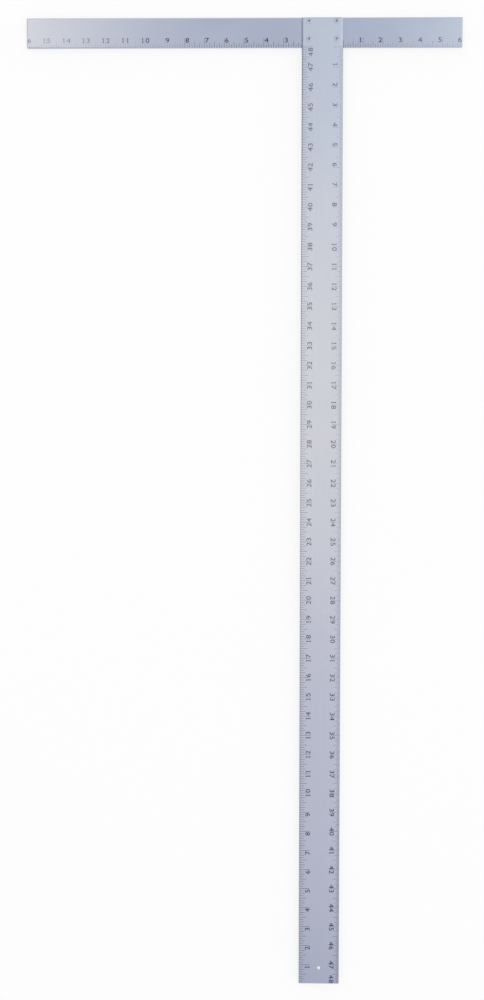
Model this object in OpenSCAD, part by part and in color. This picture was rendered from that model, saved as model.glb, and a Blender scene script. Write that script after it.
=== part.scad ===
// Forty-eight inch aluminium T-square for marking and cutting sheet material.
// A long flat blade lies across a flat head bar and is held there by four blind rivets.
// X runs along the head, Y along the blade towards the head's back edge, and Z up through the graduated face.
// The origin lies on the guide face, at half the head's thickness, in line with the blade's measuring edge.

/* [Head bar] */
// Length of the head bar, end to end
head_length = 558.8; // [320:0.1:900]
// Length of the head bar to the right of the blade's measuring edge
head_right_arm = 152.4; // [20:0.1:240]
// Width of the head bar, from the guide face to the back edge
head_width = 38.1; // [30:0.1:80]
// Thickness of the head bar
head_thickness = 6.35; // [4:0.05:16]
// Rounding along the long edges of the head bar
head_edge_round = 1.6; // [0.2:0.1:1.9]
// Rounding along the short edges at the ends of the head bar
head_end_round = 1; // [0.2:0.1:1.9]
// Rounding of the head bar's corners, seen from above
head_corner_round = 1.2; // [0.5:0.1:6]

/* [Blade] */
// Width of the blade
blade_width = 53; // [40:0.1:90]
// Length of the blade from the guide face to its tip
blade_reach = 1219.2; // [300:0.1:1800]
// Distance from the head's back edge to the end of the blade that lies on the head
blade_end_inset = 0.6; // [0:0.1:2]
// Thickness of the blade
blade_thickness = 4.76; // [4.5:0.01:8]
// Rounding along the long edges of the blade
blade_edge_round = 2; // [0.2:0.1:2.2]
// Rounding along the short edges at the ends of the blade
blade_end_round = 1; // [0.2:0.1:1.4]
// Rounding of the blade's corners, seen from above
blade_corner_round = 1.2; // [0.5:0.1:6]

/* [Hang hole] */
// Diameter of the hang hole
hang_hole_d = 5; // [3:0.1:12]
// Distance from the blade's tip to the centre of the hang hole
hang_hole_from_tip = 20.8; // [12:0.1:60]
// Chamfer round each mouth of the hang hole
hang_hole_chamfer = 0.4; // [0.1:0.1:1]

/* [Rivets] */
// Distance from the blade's far edge to the left rivets
rivet_left_distance = 9.4; // [6.5:0.1:14]
// Distance from the blade's measuring edge to the right rivets
rivet_right_distance = 8.4; // [6.5:0.1:14]
// Distance from the guide face to the front row of rivets
rivet_front_distance = 10.3; // [6:0.1:14]
// Distance from the head's back edge to the back row of rivets
rivet_back_distance = 5.4; // [5.2:0.1:9]
// Diameter of a rivet's shank
rivet_d = 4; // [3.2:0.1:5]
// Gap between a rivet's shank and the wall of its hole
rivet_clearance = 0.05; // [0.02:0.01:0.2]
// Diameter of the domed flange
flange_d = 7.6; // [6.6:0.1:9]
// Height of the domed flange at its middle
flange_height = 1.2; // [0.8:0.05:2]
// Height of the flange at its rim
flange_rim = 0.4; // [0.1:0.05:0.7]
// How far the set tail swells out beyond the shank, all round
tail_swell = 0.9; // [0.6:0.05:1.6]
// Length of the set tail behind the head bar
tail_length = 3.4; // [3:0.1:6]
// Wall of the set tail round the mandrel's head
tail_wall = 0.9; // [0.5:0.05:1.2]

/* [Mandrels] */
// Diameter of the mandrel's stem
mandrel_d = 2.4; // [1.6:0.1:2.8]
// Gap between the mandrel and the rivet round it
mandrel_clearance = 0.03; // [0.01:0.01:0.1]
// Depth of the broken end below the top of the flange
break_depth = 0.6; // [0.3:0.05:1]
// Height of the necked break at the end of the stem
break_neck = 0.5; // [0.1:0.05:0.8]
// Length of the straight part of the mandrel's head
mandrel_head_length = 0.6; // [0.3:0.05:0.9]
// Depth of the mandrel's head inside the open end of the tail
mandrel_head_inset = 0.1; // [0.05:0.05:0.4]

/* [Hidden] */
$fn = 96;

// Heights of the faces that meet
head_top = head_thickness / 2;
head_bottom = -head_thickness / 2;
blade_top = head_top + blade_thickness;
grip = blade_thickness + head_thickness;

// The blade's measuring edge is on X = 0 and its end stops just short of the head's back edge
blade_left = -blade_width;
blade_tip = -blade_reach;
blade_length = blade_reach + head_width - blade_end_inset;

// Rivet pattern
left_rivets = blade_left + rivet_left_distance;
right_rivets = -rivet_right_distance;
front_rivets = rivet_front_distance;
back_rivets = head_width - rivet_back_distance;

// Radii of the set rivet, from its shank outwards
shank_r = rivet_d / 2;
rivet_hole_r = shank_r + rivet_clearance;
flange_r = flange_d / 2;
dome_rise = flange_height - flange_rim;
dome_r = (flange_r * flange_r + dome_rise * dome_rise) / (2 * dome_rise);
tail_r = shank_r + tail_swell;
tail_bulge_r = 1.5 * tail_length;
tail_widest = 0.35 * tail_length;

// Radii and heights of the mandrel, with the top of the blade at zero
stem_r = mandrel_d / 2;
stem_bore_r = stem_r + mandrel_clearance;
neck_r = 0.65 * stem_r;
pocket_r = tail_r - tail_wall;
mandrel_head_r = pocket_r - mandrel_clearance;
tail_end = -grip - tail_length;
stem_top = flange_height - break_depth;
mandrel_head_round_z = tail_end + mandrel_head_inset + mandrel_head_r;
mandrel_head_top = mandrel_head_round_z + mandrel_head_length;

// Extra length that carries a cut clear of the faces it passes through
over = 1;

blade_colour = "#c3cad6";
head_colour = "#b2bac9";
rivet_colour = "#a9afba";
mandrel_colour = "#5d6168";

// Rectangle with round corners, from the origin
module rounded_rectangle(size, r) {
    translate([r, 0]) square([size.x - 2 * r, size.y]);
    translate([0, r]) square([size.x, size.y - 2 * r]);
    for (x = [r, size.x - r], y = [r, size.y - r])
        translate([x, y]) circle(r);
}

// Flat bar with eased edges and round corners, from the origin
// The first of the two roundings is for the edges that run along Y, the second for those along X
module eased_bar(size, edge_rounds, corner_round) {
    intersection() {
        linear_extrude(size.z) rounded_rectangle([size.x, size.y], corner_round);
        translate([0, size.y, 0]) rotate([90, 0, 0])
            linear_extrude(size.y) rounded_rectangle([size.x, size.z], edge_rounds.x);
        rotate([90, 0, 90])
            linear_extrude(size.x) rounded_rectangle([size.y, size.z], edge_rounds.y);
    }
}

// The four rivet holes, through both the blade and the head bar
module rivet_holes() {
    for (x = [left_rivets, right_rivets], y = [front_rivets, back_rivets])
        translate([x, y, head_bottom - over]) cylinder(r = rivet_hole_r, h = grip + 2 * over);
}

// Straight bore with a chamfer round each mouth, from the blade's underside upwards
module hang_hole() {
    hole_r = hang_hole_d / 2;
    mouth_r = hole_r + hang_hole_chamfer;
    translate([0, 0, -over]) cylinder(r = hole_r, h = blade_thickness + 2 * over);
    cylinder(r1 = mouth_r, r2 = hole_r, h = hang_hole_chamfer);
    translate([0, 0, blade_thickness - hang_hole_chamfer])
        cylinder(r1 = hole_r, r2 = mouth_r, h = hang_hole_chamfer);
}

module head_bar() {
    color(head_colour) difference() {
        translate([head_right_arm - head_length, 0, head_bottom])
            eased_bar(
                [head_length, head_width, head_thickness],
                [head_end_round, head_edge_round],
                head_corner_round
            );
        rivet_holes();
    }
}

module blade() {
    color(blade_colour) difference() {
        translate([blade_left, blade_tip, head_top])
            eased_bar(
                [blade_width, blade_length, blade_thickness],
                [blade_edge_round, blade_end_round],
                blade_corner_round
            );
        rivet_holes();
        translate([blade_left / 2, blade_tip + hang_hole_from_tip, head_top]) hang_hole();
    }
}

// Half section of the domed flange, sitting on the blade
module flange_section() {
    intersection() {
        translate([0, flange_height - dome_r]) circle(dome_r);
        square([flange_r, flange_height]);
    }
}

// Half section of the swollen tail, clinched against the back of the head bar
module tail_section() {
    translate([0, tail_end]) intersection() {
        square([tail_r, tail_length]);
        translate([tail_r - tail_bulge_r, tail_length - tail_widest]) circle(tail_bulge_r);
    }
}

// Set blind rivet: flange, shank and tail in one, hollow for its mandrel
module rivet() {
    pocket_depth = mandrel_head_top + mandrel_clearance - tail_end;
    color(rivet_colour) rotate_extrude() difference() {
        union() {
            flange_section();
            translate([0, -grip]) square([shank_r, grip]);
            tail_section();
        }
        translate([0, tail_end - over])
            square([stem_bore_r, grip + tail_length + flange_height + 2 * over]);
        translate([0, tail_end - over]) square([pocket_r, pocket_depth + over]);
    }
}

// Mandrel left in a set rivet: round head in the tail, stem, and the neck where it snapped
module mandrel() {
    color(mandrel_colour) rotate_extrude() {
        intersection() {
            translate([0, mandrel_head_round_z]) circle(mandrel_head_r);
            translate([0, tail_end]) square([mandrel_head_r, mandrel_head_round_z - tail_end]);
        }
        translate([0, mandrel_head_round_z]) square([mandrel_head_r, mandrel_head_length]);
        translate([0, mandrel_head_round_z])
            square([stem_r, stem_top - break_neck - mandrel_head_round_z]);
        polygon([
            [0, stem_top - break_neck],
            [stem_r, stem_top - break_neck],
            [neck_r, stem_top],
            [0, stem_top]
        ]);
    }
}

// Places its child on the axis of one rivet, at the top of the blade
module at_rivet(x, y) {
    translate([x, y, blade_top]) children();
}

module front_left_rivet() { at_rivet(left_rivets, front_rivets) rivet(); }
module front_right_rivet() { at_rivet(right_rivets, front_rivets) rivet(); }
module back_left_rivet() { at_rivet(left_rivets, back_rivets) rivet(); }
module back_right_rivet() { at_rivet(right_rivets, back_rivets) rivet(); }
module front_left_mandrel() { at_rivet(left_rivets, front_rivets) mandrel(); }
module front_right_mandrel() { at_rivet(right_rivets, front_rivets) mandrel(); }
module back_left_mandrel() { at_rivet(left_rivets, back_rivets) mandrel(); }
module back_right_mandrel() { at_rivet(right_rivets, back_rivets) mandrel(); }

head_bar();
blade();
front_left_rivet();
front_right_rivet();
back_left_rivet();
back_right_rivet();
front_left_mandrel();
front_right_mandrel();
back_left_mandrel();
back_right_mandrel();
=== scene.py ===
"""A 48 inch aluminium T-square on a white sweep.

The head bar, the blade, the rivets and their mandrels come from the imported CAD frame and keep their
shapes. This script gives them their finishes and adds what is marked on them: the inch graduations and
their numbers.
"""

import math

import bmesh
import bpy
from mathutils import Matrix, Vector


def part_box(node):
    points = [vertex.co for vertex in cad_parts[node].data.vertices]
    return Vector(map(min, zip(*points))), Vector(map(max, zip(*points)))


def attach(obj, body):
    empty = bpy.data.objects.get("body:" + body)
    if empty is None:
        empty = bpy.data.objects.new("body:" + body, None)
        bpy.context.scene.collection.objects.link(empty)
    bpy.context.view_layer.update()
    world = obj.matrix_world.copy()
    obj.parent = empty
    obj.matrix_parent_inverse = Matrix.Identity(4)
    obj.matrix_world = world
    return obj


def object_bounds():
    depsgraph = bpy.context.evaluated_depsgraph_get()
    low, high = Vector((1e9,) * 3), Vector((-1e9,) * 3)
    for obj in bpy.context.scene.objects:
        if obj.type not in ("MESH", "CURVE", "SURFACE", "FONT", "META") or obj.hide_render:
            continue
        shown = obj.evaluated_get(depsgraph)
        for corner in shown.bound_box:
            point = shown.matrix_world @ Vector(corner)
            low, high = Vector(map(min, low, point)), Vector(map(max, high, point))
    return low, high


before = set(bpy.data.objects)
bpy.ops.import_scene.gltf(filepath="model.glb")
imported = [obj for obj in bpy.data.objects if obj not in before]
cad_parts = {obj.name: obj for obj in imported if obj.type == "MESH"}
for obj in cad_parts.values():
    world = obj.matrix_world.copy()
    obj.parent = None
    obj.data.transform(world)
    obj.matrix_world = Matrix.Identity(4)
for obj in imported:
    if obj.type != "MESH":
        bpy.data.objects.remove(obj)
CAD_BOX = [list(corner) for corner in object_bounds()]

bl_info = {
    "name": "T-square",
    "version": (1, 0, 0),
    "blender": (4, 5, 0),
    "location": "View3D > Sidebar > T-square",
    "description": "Finishes, inch scales and studio stage for a 48 inch aluminium T-square",
    "category": "Object",
}

MM = 0.001
INCH = 0.0254
WHITE = (1.0, 1.0, 1.0, 1.0)

# The camera's focal length is given in pixels of a picture that is this many pixels high
PICTURE_HEIGHT = 1000
FOCAL_PIXELS = 1956.0
# Longer side of the camera's sensor, which lies along the picture's height
SENSOR_MM = 36.0

HEAD_LOW, HEAD_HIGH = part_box("head_bar")
BLADE_LOW, BLADE_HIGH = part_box("blade")
RIVET_NODES = [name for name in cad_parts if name.endswith("_rivet")]
MANDREL_NODES = [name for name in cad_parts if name.endswith("_mandrel")]


def linear(hex_colour):
    """An sRGB hex colour as linear red, green and blue."""
    channels = [int(hex_colour[i : i + 2], 16) / 255 for i in (1, 3, 5)]
    return tuple(c / 12.92 if c <= 0.04045 else ((c + 0.055) / 1.055) ** 2.4 for c in channels)


class ScaleSettings(bpy.types.PropertyGroup):
    """Sizes of the inch graduations and their numbers."""

    line_width: bpy.props.FloatProperty(
        name="Line width",
        description="Width of a graduation line on the scale in sixteenths",
        default=0.36 * MM,
        unit="LENGTH",
    )
    eighths_line_width: bpy.props.FloatProperty(
        name="Eighths line width",
        description="Width of a graduation line on the scales in eighths",
        default=0.44 * MM,
        unit="LENGTH",
    )
    inch_line_width: bpy.props.FloatProperty(
        name="Inch line width",
        description="Width of the line at each whole inch",
        default=0.42 * MM,
        unit="LENGTH",
    )
    film: bpy.props.FloatProperty(
        name="Ink film",
        description="Height of the ink above the metal",
        default=0.04 * MM,
        unit="LENGTH",
    )
    sixteenth: bpy.props.FloatProperty(
        name="Sixteenths",
        description="Distance from the edge to the inner end of a sixteenth line",
        default=0.14 * INCH,
        unit="LENGTH",
    )
    eighth: bpy.props.FloatProperty(
        name="Eighths",
        description="Distance from the edge to the inner end of an eighth line",
        default=0.18 * INCH,
        unit="LENGTH",
    )
    quarter: bpy.props.FloatProperty(
        name="Quarters",
        description="Distance from the edge to the inner end of a quarter line",
        default=0.25 * INCH,
        unit="LENGTH",
    )
    half: bpy.props.FloatProperty(
        name="Halves",
        description="Distance from the edge to the inner end of a half inch line",
        default=0.33 * INCH,
        unit="LENGTH",
    )
    inch: bpy.props.FloatProperty(
        name="Inches",
        description="Distance from the edge to the inner end of an inch line",
        default=0.5 * INCH,
        unit="LENGTH",
    )
    number_height: bpy.props.FloatProperty(
        name="Number height",
        description="Height of the numbers",
        default=6.2 * MM,
        unit="LENGTH",
    )
    number_from_edge: bpy.props.FloatProperty(
        name="Number distance",
        description="Distance from a bar's edge to the near side of its numbers",
        default=0.277 * INCH,
        unit="LENGTH",
    )
    far_inset: bpy.props.FloatProperty(
        name="Far edge inset",
        description="How much further in the marks of the far edge reach than those of the measuring edge",
        default=0.05 * INCH,
        unit="LENGTH",
    )
    head_inset: bpy.props.FloatProperty(
        name="Head inset",
        description="How much further in the marks of the head bar reach than those of the measuring edge",
        default=-0.025 * INCH,
        unit="LENGTH",
    )
    digit_pitch: bpy.props.FloatProperty(
        name="Digit pitch",
        description="Distance between the two digits of a number, with its inch line between them",
        default=6.0 * MM,
        unit="LENGTH",
    )
    digit_weight: bpy.props.FloatProperty(
        name="Digit weight",
        description="How much the strokes of the built-in font are grown, as a share of its size",
        default=0.004,
    )
    digit_stretch: bpy.props.FloatProperty(
        name="Digit stretch",
        description="Width of a digit as a multiple of its width in the built-in font",
        default=1.18,
    )
    beside_gap: bpy.props.FloatProperty(
        name="Gap beside a line",
        description="How much further a number that stands beside its inch line keeps from it",
        default=0.35 * MM,
        unit="LENGTH",
    )
    stem_width: bpy.props.FloatProperty(
        name="Stem width",
        description="Width of the stem of a 1",
        default=1.0 * MM,
        unit="LENGTH",
    )
    foot_width: bpy.props.FloatProperty(
        name="Foot width",
        description="Width of the foot under a 1",
        default=2.6 * MM,
        unit="LENGTH",
    )
    foot_height: bpy.props.FloatProperty(
        name="Foot height",
        description="Height of the foot under a 1",
        default=0.55 * MM,
        unit="LENGTH",
    )
    flag_height: bpy.props.FloatProperty(
        name="Flag height",
        description="Height of the flag of a 1, and how far it slopes down",
        default=0.9 * MM,
        unit="LENGTH",
    )
    zero_line_gap: bpy.props.FloatProperty(
        name="Zero line gap",
        description="Distance from the blade's edge to the zero line beside it on the head bar",
        default=0.35 * MM,
        unit="LENGTH",
    )


class FinishSettings(bpy.types.PropertyGroup):
    """Colours of the finishes."""

    blade: bpy.props.FloatVectorProperty(
        name="Blade",
        description="Satin anodised aluminium of the blade",
        default=linear("#b9beca"),
        subtype="COLOR",
    )
    head: bpy.props.FloatVectorProperty(
        name="Head bar",
        description="Satin anodised aluminium of the head bar",
        default=linear("#bec4d1"),
        subtype="COLOR",
    )
    rivet: bpy.props.FloatVectorProperty(
        name="Rivets",
        description="Bare aluminium of the rivets",
        default=linear("#b5becd"),
        subtype="COLOR",
    )
    mandrel: bpy.props.FloatVectorProperty(
        name="Mandrels",
        description="Dark steel of the mandrels' snapped ends",
        default=linear("#8a8c92"),
        subtype="COLOR",
    )
    ink: bpy.props.FloatVectorProperty(
        name="Ink",
        description="Dark fill of the graduations and numbers",
        default=linear("#0e1020"),
        subtype="COLOR",
    )
    # Painted lightening: ink painted paler along the bars, standing in for its low contrast on brightly
    # lit metal
    worn_ink: bpy.props.FloatVectorProperty(
        name="Worn ink",
        description="Pale grey of the graduations and numbers where they are rubbed thin",
        default=linear("#a4a8bc"),
        subtype="COLOR",
    )


class StageSettings(bpy.types.PropertyGroup):
    """Camera, floor and light."""

    camera_place: bpy.props.FloatVectorProperty(
        name="Camera place",
        description="Where the camera stands, almost straight above the square",
        default=(-0.0608, -0.4204, 2.5422),
        subtype="XYZ",
        unit="LENGTH",
    )
    camera_turn: bpy.props.FloatVectorProperty(
        name="Camera turn",
        description="How the camera is turned from looking straight down",
        default=(-0.06315, 0.02682, 0.00166),
        subtype="EULER",
    )
    floor_radius: bpy.props.FloatProperty(
        name="Floor radius",
        description="Radius of the round floor, wide enough to fill other views too",
        default=40.0,
        unit="LENGTH",
    )
    floor: bpy.props.FloatVectorProperty(
        name="Floor",
        description="Colour of the floor where it is shaded",
        default=linear("#fdfdfd"),
        subtype="COLOR",
    )
    floor_white: bpy.props.FloatProperty(
        name="Floor white",
        description="Share of plain white in the floor's look, where the rest is shaded for the shadow",
        default=0.75,
        min=0.0,
        max=1.0,
        subtype="FACTOR",
    )
    lamp_height: bpy.props.FloatProperty(
        name="Softbox height",
        description="Height of the softboxes above the square",
        default=3.2,
        unit="LENGTH",
    )
    lamp_level: bpy.props.FloatProperty(
        name="Softbox level",
        description="Brightness of all the softboxes together, where 1 is as they were set",
        default=1.0,
    )
    ceiling: bpy.props.FloatVectorProperty(
        name="Ceiling",
        description="Colour of the dim ceiling between the softboxes",
        default=linear("#d0d7e8"),
        subtype="COLOR",
    )
    left_wall: bpy.props.FloatVectorProperty(
        name="Left wall",
        description="Colour of the dark studio wall on the left, which darkens left-hand edges",
        default=linear("#747474"),
        subtype="COLOR",
    )
    right_wall: bpy.props.FloatProperty(
        name="Right wall",
        description="Brightness of the lit studio wall on the right, which lights up right-hand edges",
        default=1.4,
    )
    front_wall: bpy.props.FloatVectorProperty(
        name="Front wall",
        description="Colour of the grey studio wall beyond the blade's tip",
        default=linear("#e6e6e6"),
        subtype="COLOR",
    )
    back_wall: bpy.props.FloatVectorProperty(
        name="Back wall",
        description="Colour of the white studio wall behind the head bar",
        default=linear("#fafafa"),
        subtype="COLOR",
    )


def settings(group):
    """One of this script's property groups on the scene."""
    return getattr(bpy.context.scene, "t_square_" + group)


def add_node(tree, kind, options=None, **inputs):
    """Adds a node, sets its options, and sets or links its inputs.

    An input is named in words joined by _ or, where names repeat, by its number after an i.
    """
    node = tree.nodes.new(kind)
    for key, value in (options or {}).items():
        setattr(node, key, value)
    for key, value in inputs.items():
        number = key.removeprefix("i")
        socket = node.inputs[int(number) if number.isdigit() else key.replace("_", " ")]
        if isinstance(value, bpy.types.NodeSocket):
            tree.links.new(value, socket)
        else:
            socket.default_value = value
    return node


def new_material(name):
    """A material with an empty node tree."""
    material = bpy.data.materials.new(name)
    material.use_nodes = True
    material.node_tree.nodes.clear()
    return material, material.node_tree


def drawn_aluminium(name, colour, along):
    """Satin anodised aluminium, extruded and then brushed along the bar.

    The fine draw lines spread a reflection across the bar and keep it short along it, so the tone of the
    bar changes along its length and hardly across it.
    """
    material, tree = new_material(name)
    # Real draw lines are about 0.1 mm wide, too fine to show, so they are drawn as coarse as this
    line_width = 0.9 * MM
    line_length = 160 * MM
    cloud_size = 60 * MM
    grain_scale = [1 / line_width] * 3
    grain_scale[along] = 1 / line_length
    place = add_node(tree, "ShaderNodeTexCoord")
    stretched = add_node(tree, "ShaderNodeMapping", Vector=place.outputs["Object"], Scale=grain_scale)
    grain = add_node(
        tree,
        "ShaderNodeTexNoise",
        Vector=stretched.outputs["Vector"],
        Scale=1.0,
        Detail=3.0,
        Roughness=0.6,
    )
    cloud = add_node(
        tree, "ShaderNodeTexNoise", Vector=place.outputs["Object"], Scale=1 / cloud_size, Detail=2.0
    )
    tone = add_node(
        tree,
        "ShaderNodeMapRange",
        Value=grain.outputs["Fac"],
        From_Min=0.25,
        From_Max=0.75,
        To_Min=0.97,
        To_Max=1.03,
    )
    tint = add_node(
        tree,
        "ShaderNodeMix",
        {"data_type": "RGBA", "blend_type": "MULTIPLY"},
        i0=1.0,
        i6=(*colour, 1.0),
        i7=tone.outputs["Result"],
    )
    rough = add_node(
        tree,
        "ShaderNodeMapRange",
        Value=cloud.outputs["Fac"],
        From_Min=0.3,
        From_Max=0.7,
        To_Min=0.3,
        To_Max=0.36,
    )
    bump = add_node(
        tree, "ShaderNodeBump", Strength=0.08, Distance=0.02 * MM, Height=grain.outputs["Fac"]
    )
    across = add_node(tree, "ShaderNodeTangent", {"direction_type": "RADIAL", "axis": "XYZ"[along]})
    shader = add_node(
        tree,
        "ShaderNodeBsdfPrincipled",
        Base_Color=tint.outputs[2],
        Metallic=1.0,
        Roughness=rough.outputs["Result"],
        Anisotropic=0.75,
        Normal=bump.outputs["Normal"],
        Tangent=across.outputs["Tangent"],
    )
    add_node(tree, "ShaderNodeOutputMaterial", Surface=shader.outputs["BSDF"])
    return material


def bare_aluminium(name, colour):
    """Bare rivet aluminium as pressed by the setting tool: soft gloss with small dull dents."""
    material, tree = new_material(name)
    dent_size = 1.2 * MM
    place = add_node(tree, "ShaderNodeTexCoord")
    dents = add_node(
        tree, "ShaderNodeTexNoise", Vector=place.outputs["Object"], Scale=1 / dent_size, Detail=2.0
    )
    rough = add_node(tree, "ShaderNodeMapRange", Value=dents.outputs["Fac"], To_Min=0.42, To_Max=0.58)
    bump = add_node(
        tree, "ShaderNodeBump", Strength=0.15, Distance=0.05 * MM, Height=dents.outputs["Fac"]
    )
    shader = add_node(
        tree,
        "ShaderNodeBsdfPrincipled",
        Base_Color=(*colour, 1.0),
        Metallic=1.0,
        Roughness=rough.outputs["Result"],
        Normal=bump.outputs["Normal"],
    )
    add_node(tree, "ShaderNodeOutputMaterial", Surface=shader.outputs["BSDF"])
    return material


def snapped_steel(name, colour):
    """Plain carbon steel, torn where the mandrel snapped: dark, rough and grainy."""
    material, tree = new_material(name)
    # Real torn grain is a few hundredths of a millimetre, and is drawn coarser to show close up
    grain_size = 0.25 * MM
    place = add_node(tree, "ShaderNodeTexCoord")
    grain = add_node(
        tree, "ShaderNodeTexNoise", Vector=place.outputs["Object"], Scale=1 / grain_size, Detail=3.0
    )
    rough = add_node(tree, "ShaderNodeMapRange", Value=grain.outputs["Fac"], To_Min=0.45, To_Max=0.75)
    bump = add_node(
        tree, "ShaderNodeBump", Strength=0.6, Distance=0.08 * MM, Height=grain.outputs["Fac"]
    )
    shader = add_node(
        tree,
        "ShaderNodeBsdfPrincipled",
        Base_Color=(*colour, 1.0),
        Metallic=1.0,
        Roughness=rough.outputs["Result"],
        Normal=bump.outputs["Normal"],
    )
    add_node(tree, "ShaderNodeOutputMaterial", Surface=shader.outputs["BSDF"])
    return material


def etched_ink(name, along, dark_at, worn, pale_share):
    """Dark etching ink: a thin matt film, with painted lightening along the bar.

    The next two arguments are two places on the axis that along gives, in metres. From the first to the
    second the ink is painted from dark towards the pale colour by the last argument's share. This painted
    lightening stands in for the ink's low contrast on brightly lit metal. The ink is a little uneven
    everywhere.
    """
    material, tree = new_material(name)
    colours = settings("finish")
    patch_size = 4 * MM
    place = add_node(tree, "ShaderNodeTexCoord")
    axes = add_node(tree, "ShaderNodeSeparateXYZ", Vector=place.outputs["Object"])
    # Painted lightening: the ink grows paler along the axis, standing in for its low contrast on brightly
    # lit metal
    paling = add_node(
        tree,
        "ShaderNodeMapRange",
        {"interpolation_type": "SMOOTHSTEP"},
        Value=axes.outputs[along],
        From_Min=dark_at,
        From_Max=worn,
        To_Max=pale_share,
    )
    patch = add_node(
        tree, "ShaderNodeTexNoise", Vector=place.outputs["Object"], Scale=1 / patch_size, Detail=2.0
    )
    rub = add_node(
        tree,
        "ShaderNodeMapRange",
        Value=patch.outputs["Fac"],
        From_Min=0.3,
        From_Max=0.7,
        To_Min=-0.08,
        To_Max=0.08,
    )
    share = add_node(
        tree,
        "ShaderNodeMath",
        {"operation": "ADD", "use_clamp": True},
        i0=paling.outputs["Result"],
        i1=rub.outputs["Result"],
    )
    tint = add_node(
        tree,
        "ShaderNodeMix",
        {"data_type": "RGBA"},
        i0=share.outputs["Value"],
        i6=(*colours.ink, 1.0),
        i7=(*colours.worn_ink, 1.0),
    )
    shader = add_node(
        tree,
        "ShaderNodeBsdfPrincipled",
        Base_Color=tint.outputs[2],
        Roughness=0.55,
        Specular_IOR_Level=0.3,
    )
    add_node(tree, "ShaderNodeOutputMaterial", Surface=shader.outputs["BSDF"])
    return material


def finish_nodes(names, material):
    """Gives CAD nodes a finish."""
    for name in names:
        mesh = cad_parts[name].data
        mesh.materials.clear()
        mesh.materials.append(material)


def add_piece(name, bm, material):
    """Makes a piece from a bmesh that is already in place, and sets it on the square."""
    mesh = bpy.data.meshes.new(name)
    bm.to_mesh(mesh)
    bm.free()
    mesh.materials.append(material)
    piece = bpy.data.objects.new(name, mesh)
    bpy.context.scene.collection.objects.link(piece)
    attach(piece, "root")


class Scale:
    """One inch scale along an edge of a bar.

    zero is the point on the edge where it starts, along the way that it counts, inward the way from the
    edge into the bar, and up the way from the foot of its numbers to their top. edge_round is the radius
    of the bar's edge, over which the lines bend, and inset how much further in all its marks reach.
    """

    def __init__(self, zero, along, inward, up, edge_round, line_width, inset=0.0):
        self.zero = Vector(zero)
        self.along = Vector(along)
        self.inward = Vector(inward)
        self.up = Vector(up)
        self.edge_round = edge_round
        self.line_width = line_width
        self.inset = inset

    def lines(self, first, last, divisions):
        """The graduation lines from first to last, in inches, as one bmesh."""
        sizes = settings("scale")
        lengths = {1: sizes.inch, 2: sizes.half, 4: sizes.quarter, 8: sizes.eighth, 16: sizes.sixteenth}
        bm = bmesh.new()
        for step in range(round(first * divisions), round(last * divisions) + 1):
            # 1 at a whole inch, 2 at a half, 4 at a quarter, and so on
            fraction = divisions // math.gcd(step, divisions)
            width = sizes.inch_line_width if fraction == 1 else self.line_width
            start = self.zero + self.along * (step / divisions * INCH)
            self.add_line(bm, start, width, lengths[fraction] + self.inset)
        bmesh.ops.recalc_face_normals(bm, faces=bm.faces)
        return bm

    def add_line(self, bm, start, width, length):
        """Adds one line: a strip of ink that comes up over the edge's rounding and runs into the bar."""
        r = self.edge_round
        bends = [math.radians(angle) for angle in (60, 40, 20, 0)]
        # Each stop of the strip has its distance from the edge, its height and how far it is bent over
        stops = [(r - r * math.sin(bend), r * math.cos(bend) - r, bend) for bend in bends]
        stops.append((length, 0.0, 0.0))
        strip = bmesh.ops.create_grid(bm, x_segments=1, y_segments=len(stops) - 1, size=0.5)["verts"]
        lift = {}
        for vert in strip:
            distance, height, bend = stops[round((vert.co.y + 0.5) * (len(stops) - 1))]
            normal = Vector((0.0, 0.0, math.cos(bend))) - self.inward * math.sin(bend)
            side = self.along * math.copysign(width / 2, vert.co.x)
            vert.co = start + side + self.inward * distance + Vector((0.0, 0.0, height))
            lift[tuple(vert.co)] = normal * settings("scale").film
        faces = list({face for vert in strip for face in vert.link_faces})
        raised = bmesh.ops.extrude_face_region(bm, geom=faces)["geom"]
        for item in raised:
            if isinstance(item, bmesh.types.BMVert):
                item.co += lift[tuple(item.co)]

    def numbers(self, labels):
        """The numbers as one bmesh of raised ink.

        labels are triples: a number's text, its inch, and whether it stands beside its inch line, on the
        zero side. The digits of the others stand on either side of their line.
        """
        sizes = settings("scale")
        used = sorted({digit for text, inches, beside in labels for digit in text})
        shapes = {digit: digit_mesh(digit) for digit in used}
        bm = bmesh.new()
        out = Vector((0.0, 0.0, 1.0))
        read = self.up.cross(out)
        turn = Matrix((read, self.up, out)).transposed().to_4x4()
        outward_up = self.up.dot(self.inward) < 0
        near = sizes.number_from_edge + self.inset + (sizes.number_height if outward_up else 0.0)
        for text, inches, beside in labels:
            base = self.zero + self.along * (inches * INCH) + self.inward * near
            middle = (len(text) - 1) / 2
            for place, digit in enumerate(text):
                offset = read * (place - middle) * sizes.digit_pitch
                if beside:
                    offset -= self.along * (len(text) / 2 * sizes.digit_pitch + sizes.beside_gap)
                first = len(bm.verts)
                bm.from_mesh(shapes[digit])
                bmesh.ops.transform(
                    bm, matrix=Matrix.Translation(base + offset) @ turn, verts=bm.verts[first:]
                )
        for mesh in shapes.values():
            bpy.data.meshes.remove(mesh)
        return bm


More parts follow.
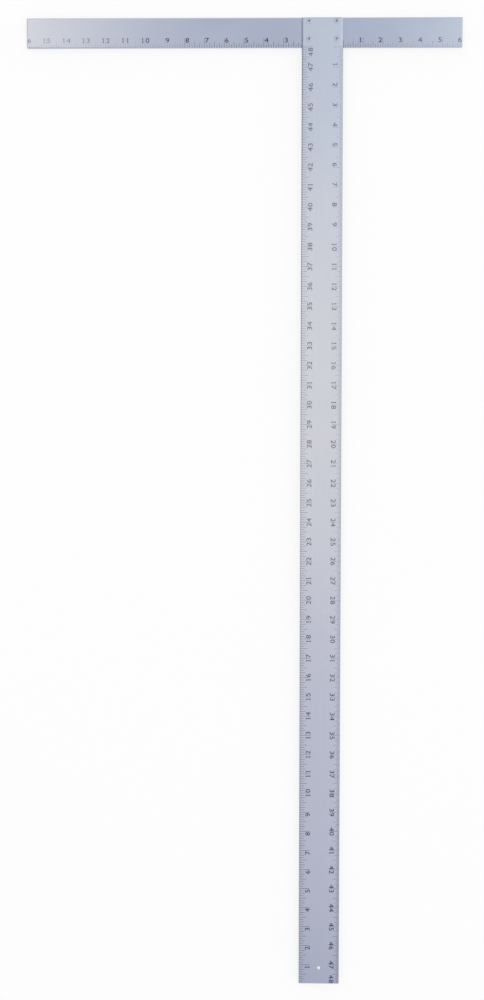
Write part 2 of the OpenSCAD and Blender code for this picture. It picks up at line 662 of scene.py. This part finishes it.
def font_digit(digit):
    """A stretched digit of the built-in font as a flat bmesh: its base on Y = 0 and centred on X = 0."""
    sizes = settings("scale")
    curve = bpy.data.curves.new("digit", "FONT")
    curve.body = digit
    curve.resolution_u = 3
    # A grown curve turns the sharp corner inside a 4 inside out, so a 4 is grown as a mesh instead
    curve.offset = 0.0 if digit == "4" else sizes.digit_weight
    holder = bpy.data.objects.new("digit", curve)
    bpy.context.scene.collection.objects.link(holder)
    bpy.context.view_layer.update()
    graph = bpy.context.evaluated_depsgraph_get()
    mesh = bpy.data.meshes.new_from_object(holder.evaluated_get(graph))
    bpy.data.objects.remove(holder)
    bpy.data.curves.remove(curve)
    bm = bmesh.new()
    bm.from_mesh(mesh)
    bpy.data.meshes.remove(mesh)
    if digit == "4":
        # That corner is cut off by a tiny edge, which is first merged to a point
        tiny_edge = 0.0025
        bmesh.ops.remove_doubles(bm, verts=bm.verts, dist=tiny_edge)
        bmesh.ops.beautify_fill(bm, faces=bm.faces[:], edges=bm.edges[:])
        rim = bmesh.ops.inset_region(
            bm,
            faces=bm.faces[:],
            thickness=-sizes.digit_weight,
            use_boundary=True,
            use_even_offset=True,
        )["faces"]
        bmesh.ops.delete(bm, geom=rim, context="FACES")
    xs = [vert.co.x for vert in bm.verts]
    ys = [vert.co.y for vert in bm.verts]
    size = sizes.number_height / (max(ys) - min(ys))
    bmesh.ops.translate(bm, verts=bm.verts, vec=(-(min(xs) + max(xs)) / 2, -min(ys), 0.0))
    bmesh.ops.scale(bm, verts=bm.verts, vec=(size * sizes.digit_stretch, size, size))
    return bm


def footed_one():
    """A 1 with a flag and a foot, where the built-in font has a bare stem, placed like other digits.

    It is a grid of three by three cells without the ones beside the stem.
    """
    sizes = settings("scale")
    columns = (-sizes.foot_width / 2, -sizes.stem_width / 2, sizes.stem_width / 2, sizes.foot_width / 2)
    rows = (0.0, sizes.foot_height, sizes.number_height - sizes.flag_height, sizes.number_height)
    bm = bmesh.new()
    bmesh.ops.create_grid(bm, x_segments=3, y_segments=3, size=1.5)
    blank_cells = ((-1, 0), (1, 0), (1, 1))
    centres = [(face, face.calc_center_median()) for face in bm.faces]
    blank = [face for face, centre in centres if (round(centre.x), round(centre.y)) in blank_cells]
    bmesh.ops.delete(bm, geom=blank, context="FACES")
    for vert in bm.verts:
        column = round(vert.co.x + 1.5)
        row = round(vert.co.y + 1.5)
        drop = sizes.flag_height if column == 0 and row > 1 else 0.0
        vert.co = (columns[column], rows[row] - drop, 0.0)
    return bm


def digit_mesh(digit):
    """A digit as a mesh that is as thick as the ink film."""
    bm = footed_one() if digit == "1" else font_digit(digit)
    raised = bmesh.ops.extrude_face_region(bm, geom=bm.faces[:])["geom"]
    top = [item for item in raised if isinstance(item, bmesh.types.BMVert)]
    bmesh.ops.translate(bm, verts=top, vec=(0.0, 0.0, settings("scale").film))
    bmesh.ops.recalc_face_normals(bm, faces=bm.faces)
    mesh = bpy.data.meshes.new("digit")
    bm.to_mesh(mesh)
    bm.free()
    return mesh


def edge_round(node):
    """The radius of a bar's long edges, read off the flat that is left between them."""
    low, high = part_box(node)
    tolerance = 0.001 * MM
    flat = [vert.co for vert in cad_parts[node].data.vertices if vert.co.z > high.z - tolerance]
    if high.x - low.x < high.y - low.y:
        return high.x - max(co.x for co in flat)
    return high.y - max(co.y for co in flat)


class TSQUARE_OT_finish_bars(bpy.types.Operator):
    """Gives the head bar and the blade their satin anodised finish"""

    bl_idname = "tsquare.finish_bars"
    bl_label = "Finish the bars"

    def execute(self, context):
        colours = settings("finish")
        finish_nodes(["blade"], drawn_aluminium("anodised_blade", colours.blade, along=1))
        finish_nodes(["head_bar"], drawn_aluminium("anodised_head", colours.head, along=0))
        return {"FINISHED"}


class TSQUARE_OT_finish_rivets(bpy.types.Operator):
    """Gives the rivets and the mandrels left in them their metal"""

    bl_idname = "tsquare.finish_rivets"
    bl_label = "Finish the rivets"

    def execute(self, context):
        colours = settings("finish")
        finish_nodes(RIVET_NODES, bare_aluminium("rivet_aluminium", colours.rivet))
        finish_nodes(MANDREL_NODES, snapped_steel("snapped_steel", colours.mandrel))
        return {"FINISHED"}


class TSQUARE_OT_blade_scales(bpy.types.Operator):
    """Marks the blade: sixteenths down its measuring edge and eighths up its other edge"""

    bl_idname = "tsquare.blade_scales"
    bl_label = "Mark the blade"

    def execute(self, context):
        sizes = settings("scale")
        reach = round(-BLADE_LOW.y / INCH)
        down = Scale(
            zero=(BLADE_HIGH.x, 0.0, BLADE_HIGH.z),
            along=(0, -1, 0),
            inward=(-1, 0, 0),
            up=(1, 0, 0),
            edge_round=edge_round("blade"),
            line_width=sizes.line_width,
        )
        up = Scale(
            zero=(BLADE_LOW.x, BLADE_LOW.y, BLADE_HIGH.z),
            along=(0, 1, 0),
            inward=(1, 0, 0),
            up=(-1, 0, 0),
            edge_round=edge_round("blade"),
            line_width=sizes.eighths_line_width,
            inset=sizes.far_inset,
        )
        # The ink is dark at the tip and painted paler towards the head bar, most of all in the fine lines,
        # as painted lightening
        line_ink = etched_ink("measuring_line_ink", along=1, dark_at=-1.2, worn=-0.45, pale_share=0.65)
        ink = etched_ink("blade_ink", along=1, dark_at=-1.2, worn=-0.4, pale_share=0.42)
        # Single digits stand beside their inch line, and so does the last number
        labels = [(str(n), n, n < 10 or n == reach) for n in range(1, reach + 1)]
        add_piece("measuring_edge_lines", down.lines(0, reach - 1 / 16, 16), line_ink)
        add_piece("measuring_edge_numbers", down.numbers(labels), ink)
        add_piece("far_edge_lines", up.lines(1 / 8, reach, 8), ink)
        add_piece("far_edge_numbers", up.numbers(labels), ink)
        return {"FINISHED"}


class TSQUARE_OT_head_scales(bpy.types.Operator):
    """Marks the head bar in eighths, both ways from the blade's measuring edge"""

    bl_idname = "tsquare.head_scales"
    bl_label = "Mark the head bar"

    def execute(self, context):
        sizes = settings("scale")
        shared = {
            "zero": (0.0, 0.0, HEAD_HIGH.z),
            "inward": (0, 1, 0),
            "up": (0, 1, 0),
            "edge_round": edge_round("head_bar"),
            "line_width": sizes.eighths_line_width,
            "inset": sizes.head_inset,
        }
        left = Scale(along=(-1, 0, 0), **shared)
        right = Scale(along=(1, 0, 0), **shared)
        # The lines are painted paler than the numbers, with the same painted lightening as on the blade
        long_line_ink = etched_ink("long_arm_line_ink", along=0, dark_at=-0.1, worn=-0.3, pale_share=1.0)
        long_ink = etched_ink("long_arm_number_ink", along=0, dark_at=-0.18, worn=-0.4, pale_share=0.8)
        short_line_ink = etched_ink("short_arm_line_ink", along=0, dark_at=-0.02, worn=0.1, pale_share=0.8)
        short_ink = etched_ink("short_arm_number_ink", along=0, dark_at=0.0, worn=0.16, pale_share=0.35)

        # The long arm's scale comes out from under the blade
        blade_width = -BLADE_LOW.x / INCH
        first_inch = math.floor(blade_width) + 1
        first_eighth = (math.floor(blade_width * 8) + 1) / 8
        long_arm = round(-HEAD_LOW.x / INCH)
        long_labels = [(str(n), n, n < 10) for n in range(first_inch, long_arm)]
        # The bar is cut through its last number, of which only the inner digit is left
        long_labels.append((str(long_arm)[-1], long_arm, True))
        long_lines = left.lines(first_eighth, long_arm - 1 / 8, 8)
        add_piece("long_arm_lines", long_lines, long_line_ink)
        add_piece("long_arm_numbers", left.numbers(long_labels), long_ink)

        short_arm = round(HEAD_HIGH.x / INCH)
        short_labels = [(str(n), n, True) for n in range(1, short_arm + 1)]
        short_lines = right.lines(1 / 8, short_arm - 1 / 8, 8)
        zero_line = right.zero + right.along * sizes.zero_line_gap
        right.add_line(short_lines, zero_line, sizes.inch_line_width, sizes.half)
        bmesh.ops.recalc_face_normals(short_lines, faces=short_lines.faces)
        add_piece("short_arm_lines", short_lines, short_line_ink)
        add_piece("short_arm_numbers", right.numbers(short_labels), short_ink)
        return {"FINISHED"}


def white_sweep(stage):
    """Seamless white paper: mostly plain white to the eye and in reflections, and shaded for the rest.

    The shaded share shows the square's soft shadow.
    """
    material, tree = new_material("white_sweep")
    path = add_node(tree, "ShaderNodeLightPath")
    seen = path.outputs["Is Camera Ray"]
    for ray in ("Is Glossy Ray", "Is Transmission Ray"):
        either = add_node(
            tree, "ShaderNodeMath", {"operation": "MAXIMUM"}, i0=seen, i1=path.outputs[ray]
        )
        seen = either.outputs["Value"]
    share = add_node(
        tree, "ShaderNodeMath", {"operation": "MULTIPLY"}, i0=seen, i1=stage.floor_white
    )
    lit = add_node(tree, "ShaderNodeBsdfDiffuse", Color=(*stage.floor, 1.0))
    white = add_node(tree, "ShaderNodeEmission", Color=WHITE, Strength=1.0)
    mixed = add_node(
        tree,
        "ShaderNodeMixShader",
        Fac=share.outputs["Value"],
        i1=lit.outputs["BSDF"],
        i2=white.outputs["Emission"],
    )
    add_node(tree, "ShaderNodeOutputMaterial", Surface=mixed.outputs["Shader"])
    return material


def add_floor(stage):
    """The round floor, level with the lowest point of the square."""
    bm = bmesh.new()
    bmesh.ops.create_circle(bm, cap_ends=True, segments=96, radius=stage.floor_radius)
    lowest = CAD_BOX[0][2]
    bmesh.ops.translate(bm, verts=bm.verts, vec=(0.0, 0.0, lowest))
    mesh = bpy.data.meshes.new("floor")
    bm.to_mesh(mesh)
    bm.free()
    mesh.materials.append(white_sweep(stage))
    floor = bpy.data.objects.new("floor", mesh)
    bpy.context.scene.collection.objects.link(floor)


def studio_world(stage):
    """The studio round the square: a pale ceiling and four walls, dark, lit, grey and white.

    The camera sees plain white in its place. Reflections keep the room, because it is what lights the
    metal.
    """
    world = bpy.data.worlds.new("studio")
    bpy.context.scene.world = world
    world.use_nodes = True
    tree = world.node_tree
    tree.nodes.clear()
    place = add_node(tree, "ShaderNodeTexCoord")
    way = add_node(tree, "ShaderNodeSeparateXYZ", Vector=place.outputs["Generated"])
    # Each wall, and then the ceiling, fades in over those before it between two values of the way's axis
    covers = (
        ("X", -0.5, 0.5, [stage.right_wall] * 3),
        ("Y", 0.03, -0.12, stage.front_wall),
        ("Y", 0.08, 0.4, stage.back_wall),
        ("Z", 0.6, 0.9, stage.ceiling),
    )
    room = (*stage.left_wall, 1.0)
    for axis, start, end, colour in covers:
        share = add_node(
            tree,
            "ShaderNodeMapRange",
            {"interpolation_type": "SMOOTHSTEP"},
            Value=way.outputs[axis],
            From_Min=start,
            From_Max=end,
        )
        covered = add_node(
            tree,
            "ShaderNodeMix",
            {"data_type": "RGBA"},
            i0=share.outputs["Result"],
            i6=room,
            i7=(*colour, 1.0),
        )
        room = covered.outputs[2]
    path = add_node(tree, "ShaderNodeLightPath")
    seen = add_node(
        tree,
        "ShaderNodeMix",
        {"data_type": "RGBA"},
        i0=path.outputs["Is Camera Ray"],
        i6=room,
        i7=WHITE,
    )
    background = add_node(tree, "ShaderNodeBackground", Color=seen.outputs[2], Strength=1.0)
    add_node(tree, "ShaderNodeOutputWorld", Surface=background.outputs["Background"])


def softbox(stage, name, x, y, level, colour):
    """A flat softbox that faces down, between two places in X and two in Y.

    level sets how bright it looks, so its power follows from its level and its area.
    """
    light = bpy.data.lights.new(name, "AREA")
    light.shape = "RECTANGLE"
    light.size = x[1] - x[0]
    light.size_y = y[1] - y[0]
    light.energy = stage.lamp_level * level * math.pi * light.size * light.size_y
    light.color = linear(colour)
    lamp = bpy.data.objects.new(name, light)
    lamp.location = (sum(x) / 2, sum(y) / 2, stage.lamp_height)
    bpy.context.scene.collection.objects.link(lamp)


def add_camera(stage):
    """The camera, which looks down on the square."""
    lens = bpy.data.cameras.new("camera")
    lens.sensor_width = SENSOR_MM
    lens.lens = FOCAL_PIXELS * SENSOR_MM / PICTURE_HEIGHT
    camera = bpy.data.objects.new("camera", lens)
    camera.location = stage.camera_place
    camera.rotation_euler = stage.camera_turn
    bpy.context.scene.collection.objects.link(camera)
    bpy.context.scene.camera = camera


class TSQUARE_OT_stage(bpy.types.Operator):
    """Sets the white floor, the soft studio light and the camera"""

    bl_idname = "tsquare.stage"
    bl_label = "Set the stage"

    def execute(self, context):
        stage = settings("stage")
        add_floor(stage)
        studio_world(stage)
        # The dim gap above the middle of the head and the tip keeps both darker than the blade's middle
        softbox(stage, "left_back_softbox", x=(-2.0, -0.62), y=(0.95, 2.3), level=1.12, colour="#ffebbd")
        softbox(stage, "left_softbox", x=(-1.9, -0.75), y=(-1.0, 0.2), level=2.69, colour="#ffeac6")
        softbox(stage, "right_back_softbox", x=(0.5, 1.6), y=(0.15, 0.93), level=1.83, colour="#f6ffee")
        softbox(stage, "right_softbox", x=(0.5, 1.6), y=(-1.0, 0.13), level=1.45, colour="#ffefc3")
        softbox(stage, "right_front_softbox", x=(0.5, 1.6), y=(-2.2, -1.0), level=1.66, colour="#ffe6d4")
        add_camera(stage)
        context.scene.view_settings.view_transform = "Standard"
        return {"FINISHED"}


OPERATORS = (
    TSQUARE_OT_finish_bars,
    TSQUARE_OT_finish_rivets,
    TSQUARE_OT_blade_scales,
    TSQUARE_OT_head_scales,
    TSQUARE_OT_stage,
)
GROUPS = {"scale": ScaleSettings, "finish": FinishSettings, "stage": StageSettings}


class TSQUARE_PT_panel(bpy.types.Panel):
    """The T-square's steps and settings"""

    bl_idname = "TSQUARE_PT_panel"
    bl_label = "T-square"
    bl_space_type = "VIEW_3D"
    bl_region_type = "UI"
    bl_category = "T-square"

    def draw(self, context):
        for operator in OPERATORS:
            self.layout.operator(operator.bl_idname)
        for group, kind in GROUPS.items():
            box = self.layout.box()
            for name in kind.__annotations__:
                box.prop(settings(group), name)


CLASSES = (*GROUPS.values(), *OPERATORS, TSQUARE_PT_panel)


def register():
    """Adds the classes to Blender and the settings to its scenes."""
    for kind in CLASSES:
        bpy.utils.register_class(kind)
    for group, kind in GROUPS.items():
        setattr(bpy.types.Scene, "t_square_" + group, bpy.props.PointerProperty(type=kind))


def unregister():
    """Takes the settings and the classes away again."""
    for group in GROUPS:
        delattr(bpy.types.Scene, "t_square_" + group)
    for kind in reversed(CLASSES):
        bpy.utils.unregister_class(kind)


def main():
    """Dresses the square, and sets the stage."""
    register()
    bpy.ops.tsquare.finish_bars()
    bpy.ops.tsquare.finish_rivets()
    bpy.ops.tsquare.blade_scales()
    bpy.ops.tsquare.head_scales()
    bpy.ops.tsquare.stage()


if __name__ == "__main__":
    main()
